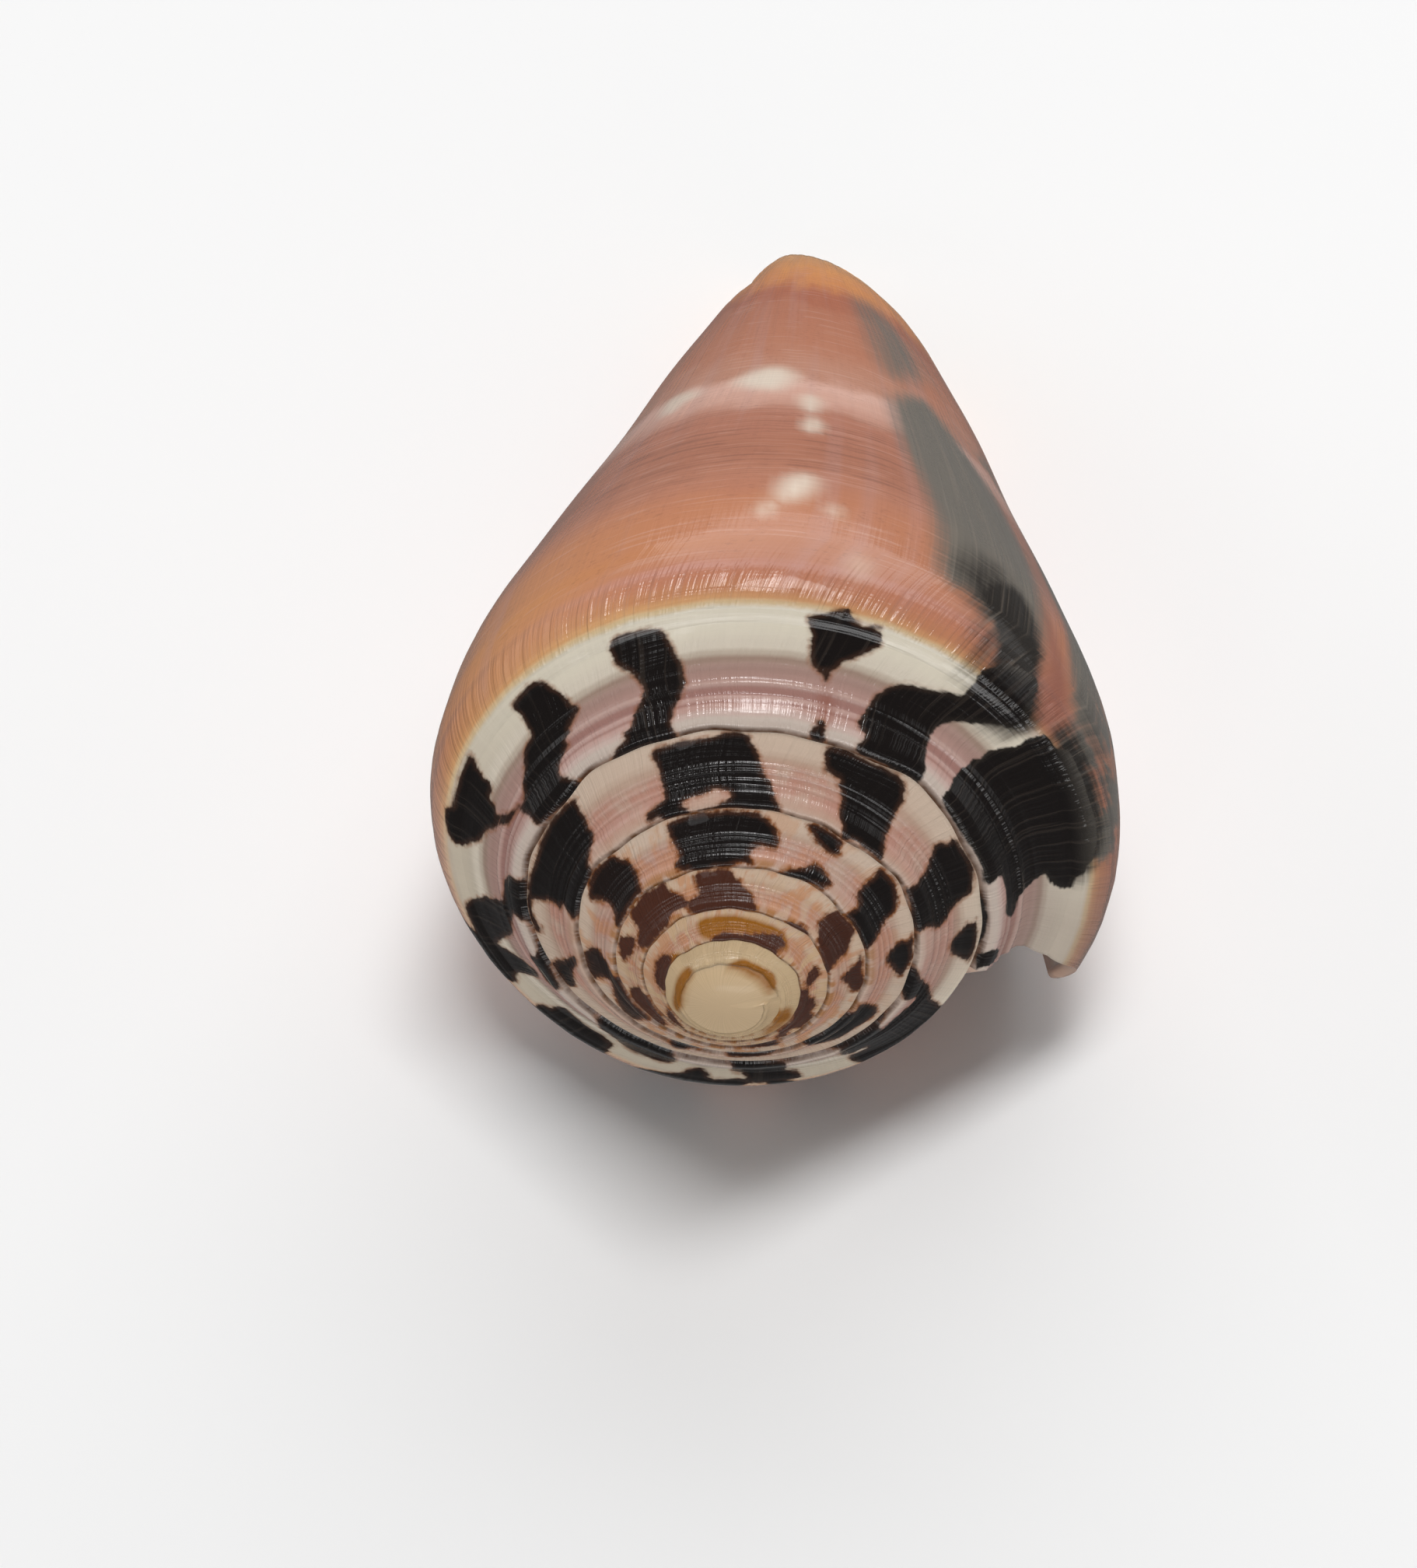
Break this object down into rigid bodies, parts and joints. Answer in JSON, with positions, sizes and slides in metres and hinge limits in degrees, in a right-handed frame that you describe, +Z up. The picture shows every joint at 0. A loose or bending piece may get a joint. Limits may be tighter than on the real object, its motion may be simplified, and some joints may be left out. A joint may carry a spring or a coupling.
{
  "type": "cone shell",
  "caption": "Spired, glossy cone-shaped seashell with a stepped spire, rounded shoulder, narrow aperture and dark blotches, lying on its aperture side",
  "frame": {"origin": "Centre of the bounding box's base, on the surface that the shell lies on", "axes": "+Z is up from that surface, the spire points to -Y and the narrow front end to +Y, with the outer lip on the +X side"},
  "size_m": [0.0304, 0.055, 0.0282],
  "materials": {
    "shell": "polished shell, pinkish brown with black-brown blotches and cream bands"
  },
  "bodies": {
    "root": {"shell": "shell"}
  },
  "joints": []
}
